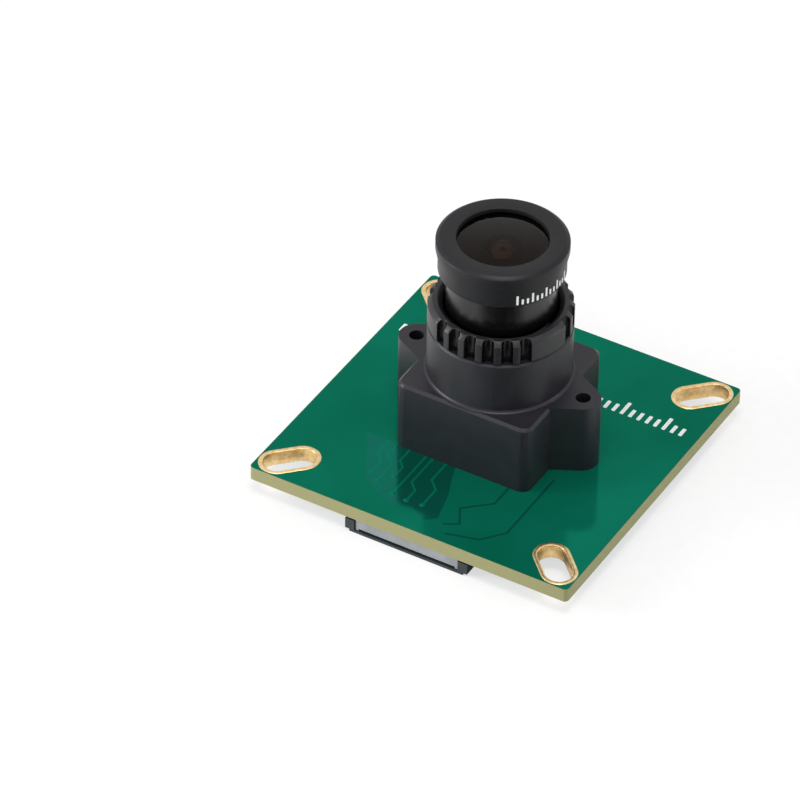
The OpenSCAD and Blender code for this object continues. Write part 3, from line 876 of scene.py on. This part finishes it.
# %% Islands of a mesh
def islands(bm):
    """The separate shells of a mesh, as lists of faces."""
    left = set(bm.faces)
    groups = []
    while left:
        group, edge_of_group = set(), [left.pop()]
        while edge_of_group:
            face = edge_of_group.pop()
            group.add(face)
            for edge in face.edges:
                for other in edge.link_faces:
                    if other in left:
                        left.remove(other)
                        edge_of_group.append(other)
        groups.append(group)
    return groups


def chip_parts(node, name, body_material, cap, end_metal=lead_tin):
    """Chips whose two end caps, cap millimetres long, are metal."""
    bm = merged_copy(node)
    soften(bm, 0.03, 1, 50)
    for group in islands(bm):
        points = [vert.co for face in group for vert in face.verts]
        low = Vector([min(p[i] for p in points) for i in range(3)])
        high = Vector([max(p[i] for p in points) for i in range(3)])
        axis = 0 if high.x - low.x > high.y - low.y else 1
        for face in group:
            middle = face.calc_center_median()[axis]
            if min(middle - low[axis], high[axis] - middle) < (cap + 0.01) * MM:
                face.material_index = 1
    return even_normals(add_piece(name, bm, [body_material, end_metal], "root", [node]))


def leaded_parts(node, name, body_material):
    """Chips with bent leads: whatever is thinner than the body is metal."""
    bm = merged_copy(node)
    soften(bm, 0.02, 1, 50)
    for group in islands(bm):
        points = [vert.co for face in group for vert in face.verts]
        top_z = board_low.z
        tall = max(top_z - p.z for p in points)
        body_points = [p for p in points if top_z - p.z > tall - 0.06 * MM]
        low = Vector([min(p[i] for p in body_points) for i in range(2)])
        high = Vector([max(p[i] for p in body_points) for i in range(2)])
        for face in group:
            middle = face.calc_center_median()
            inside = all(low[i] - 0.05 * MM < middle[i] < high[i] + 0.05 * MM for i in range(2))
            if not inside:
                face.material_index = 1
    return even_normals(add_piece(name, bm, [body_material, lead_tin], "root", [node]))


chip_parts("ceramic_capacitors", "ceramic_chip_capacitors", tan_ceramic, 0.35)
chip_parts("chip_resistors", "thick_film_resistors", black_glaze, 0.2)
chip_parts("ferrite_chokes", "ferrite_chip_chokes", grey_ferrite, 0.4)
chip_parts(
    "tantalum_capacitors", "moulded_tantalum_capacitors", ochre_epoxy, 0.12
)
leaded_parts("voltage_regulators", "leaded_regulators", epoxy_black)
leaded_parts("memory_chip", "leaded_memory_chip", epoxy_black)
dressed(
    "clock_oscillator", "lidded_oscillator", pale_ceramic, "root",
    0.05, 2, 50,
)

# %% [markdown]
# ## Camera
# The camera stands about 30 degrees to the right of the connector's side and 39 degrees above
# the horizon. Its lens is long, so that the board's edges hardly converge. It looks at a point
# left of the lens tower, which leaves room at that side as in a catalogue picture.

# %% Camera
VIEW_DEGREES = 29.9
AZIMUTH, ELEVATION, ROLL = math.radians(VIEW_DEGREES), math.radians(39.31), math.radians(0.91)
camera_data = bpy.data.cameras.new("catalogue_camera")
camera = bpy.data.objects.new("catalogue_camera", camera_data)
scene.collection.objects.link(camera)
scene.camera = camera
camera_data.sensor_width = 36
camera_data.lens = 265.7
camera_data.clip_start = 0.01
camera_data.clip_end = 20
look_at = Vector((-11.08 * MM, -1.39 * MM, board_high.z))
back = Vector((
    math.sin(AZIMUTH) * math.cos(ELEVATION),
    -math.cos(AZIMUTH) * math.cos(ELEVATION),
    math.sin(ELEVATION),
))
camera.rotation_mode = "QUATERNION"
camera.location = look_at + back * 624 * MM
camera.rotation_quaternion = (
    (-back).to_track_quat("-Z", "Y").to_matrix() @ Matrix.Rotation(ROLL, 3, "Z")
).to_quaternion()

# %% [markdown]
# ## Floor and light
# A white table in a tent of soft light. A soft lamp hangs above, a little in front, and draws
# the bright lines along rounded edges. A tall panel at the left lights the front face, and a
# small one at the right only adds its reflection in the lens.
# Upright black metal mirrors the table. So a black card lies on the table in front, and the
# white paper left and right of it gives the two soft highlights on the lens neck. The card
# works in reflections alone: the camera sees plain white paper there.
# To the camera the table also glows, so that it reads as white and still holds the shadow.

# %% Floor
def ramp_between(material, value, start, end):
    """A soft step: 0 where value is start, 1 where it is end."""
    node = add_node(material, "ShaderNodeMapRange", {"interpolation_type": "SMOOTHSTEP"},
                    {"Value": value, "From Min": start, "From Max": end})
    return node.outputs["Result"]


def multiplied(material, first, second):
    node = add_node(material, "ShaderNodeMath", {"operation": "MULTIPLY"}, {0: first, 1: second})
    return node.outputs[0]


def black_card(material, where):
    """1 on a card that starts 26 mm in front of the lens axis and is 54 mm wide."""
    toward = add_node(
        material, "ShaderNodeVectorMath", {"operation": "DOT_PRODUCT"},
        {0: where, 1: (math.sin(AZIMUTH), -math.cos(AZIMUTH), 0)},
    )
    aside = add_node(
        material, "ShaderNodeVectorMath", {"operation": "DOT_PRODUCT"},
        {0: where, 1: (math.cos(AZIMUTH), math.sin(AZIMUTH), 0)},
    )
    off_axis = add_node(
        material, "ShaderNodeMath", {"operation": "ABSOLUTE"}, {0: aside.outputs["Value"]}
    )
    return multiplied(
        material, ramp_between(material, toward.outputs["Value"], 22, 30),
        ramp_between(material, off_axis.outputs[0], 31, 23),
    )


def white_table():
    material, where = new_material("white_paper_table")
    fibre = noise(material, where, 0.8, 2.0)
    paper = add_node(material, "ShaderNodeBsdfPrincipled", None, {
        "Base Color": blend_colours(material, fibre, "#f1f1f1", "#f6f6f6"),
        "Roughness": 0.9, "Specular IOR Level": 0.1,
    })
    white = (1, 1, 1, 1)
    black = add_node(
        material, "ShaderNodeEmission", None, {"Color": white, "Strength": 0.02}
    )
    glow = add_node(material, "ShaderNodeEmission", None, {"Color": white, "Strength": 1.0})
    path = add_node(material, "ShaderNodeLightPath")
    card = multiplied(material, path.outputs["Is Glossy Ray"], black_card(material, where))
    in_gloss = add_node(material, "ShaderNodeMixShader", None,
                        {0: card, 1: paper.outputs[0], 2: black.outputs[0]})
    seen = multiplied(material, path.outputs["Is Camera Ray"], 0.65)
    mix = add_node(material, "ShaderNodeMixShader", None,
                   {0: seen, 1: in_gloss.outputs[0], 2: glow.outputs[0]})
    add_node(material, "ShaderNodeOutputMaterial", None, {"Surface": mix.outputs[0]})
    return material


floor_bm = bmesh.new()
bmesh.ops.create_grid(floor_bm, x_segments=2, y_segments=2, size=3.0)
floor_mesh = bpy.data.meshes.new("table")
floor_bm.to_mesh(floor_mesh)
floor_bm.free()
floor_mesh.materials.append(white_table())
floor = bpy.data.objects.new("table", floor_mesh)
scene.collection.objects.link(floor)

# %% World and lamps
world = bpy.data.worlds.new("light_tent")
scene.world = world
world.use_nodes = True
world.node_tree.nodes.clear()
path = add_node(world, "ShaderNodeLightPath")
in_gloss = add_node(world, "ShaderNodeMath", {"operation": "MULTIPLY_ADD"},
                    {0: path.outputs["Is Glossy Ray"], 1: 0.2, 2: 0.6})
strength = add_node(world, "ShaderNodeMath", {"operation": "MAXIMUM"},
                    {0: path.outputs["Is Camera Ray"], 1: in_gloss.outputs[0]})
tent = add_node(world, "ShaderNodeBackground", None,
                {"Color": (1, 1, 1, 1), "Strength": strength.outputs[0]})
add_node(world, "ShaderNodeOutputWorld", None, {"Surface": tent.outputs[0]})


def soft_panel(name, azimuth, elevation, distance, width, height, power):
    """A rectangular lamp that faces the object from azimuth and elevation, in degrees."""
    data = bpy.data.lights.new(name, "AREA")
    data.shape = "RECTANGLE"
    data.size, data.size_y = width, height
    data.energy = power
    lamp = bpy.data.objects.new(name, data)
    scene.collection.objects.link(lamp)
    a, e = math.radians(azimuth), math.radians(elevation)
    away = Vector((math.sin(a) * math.cos(e), -math.cos(a) * math.cos(e), math.sin(e)))
    lamp.location = away * distance
    lamp.rotation_mode = "QUATERNION"
    lamp.rotation_quaternion = (-away).to_track_quat("-Z", "Y")
    return lamp


soft_panel("left_panel", VIEW_DEGREES - 85, 14, 0.5, 0.18, 0.34, 2.2)
soft_panel("right_panel", VIEW_DEGREES + 85, 14, 0.5, 0.07, 0.12, 0.3)
soft_panel("top_panel", VIEW_DEGREES, 78, 0.6, 0.22, 0.22, 1.4)
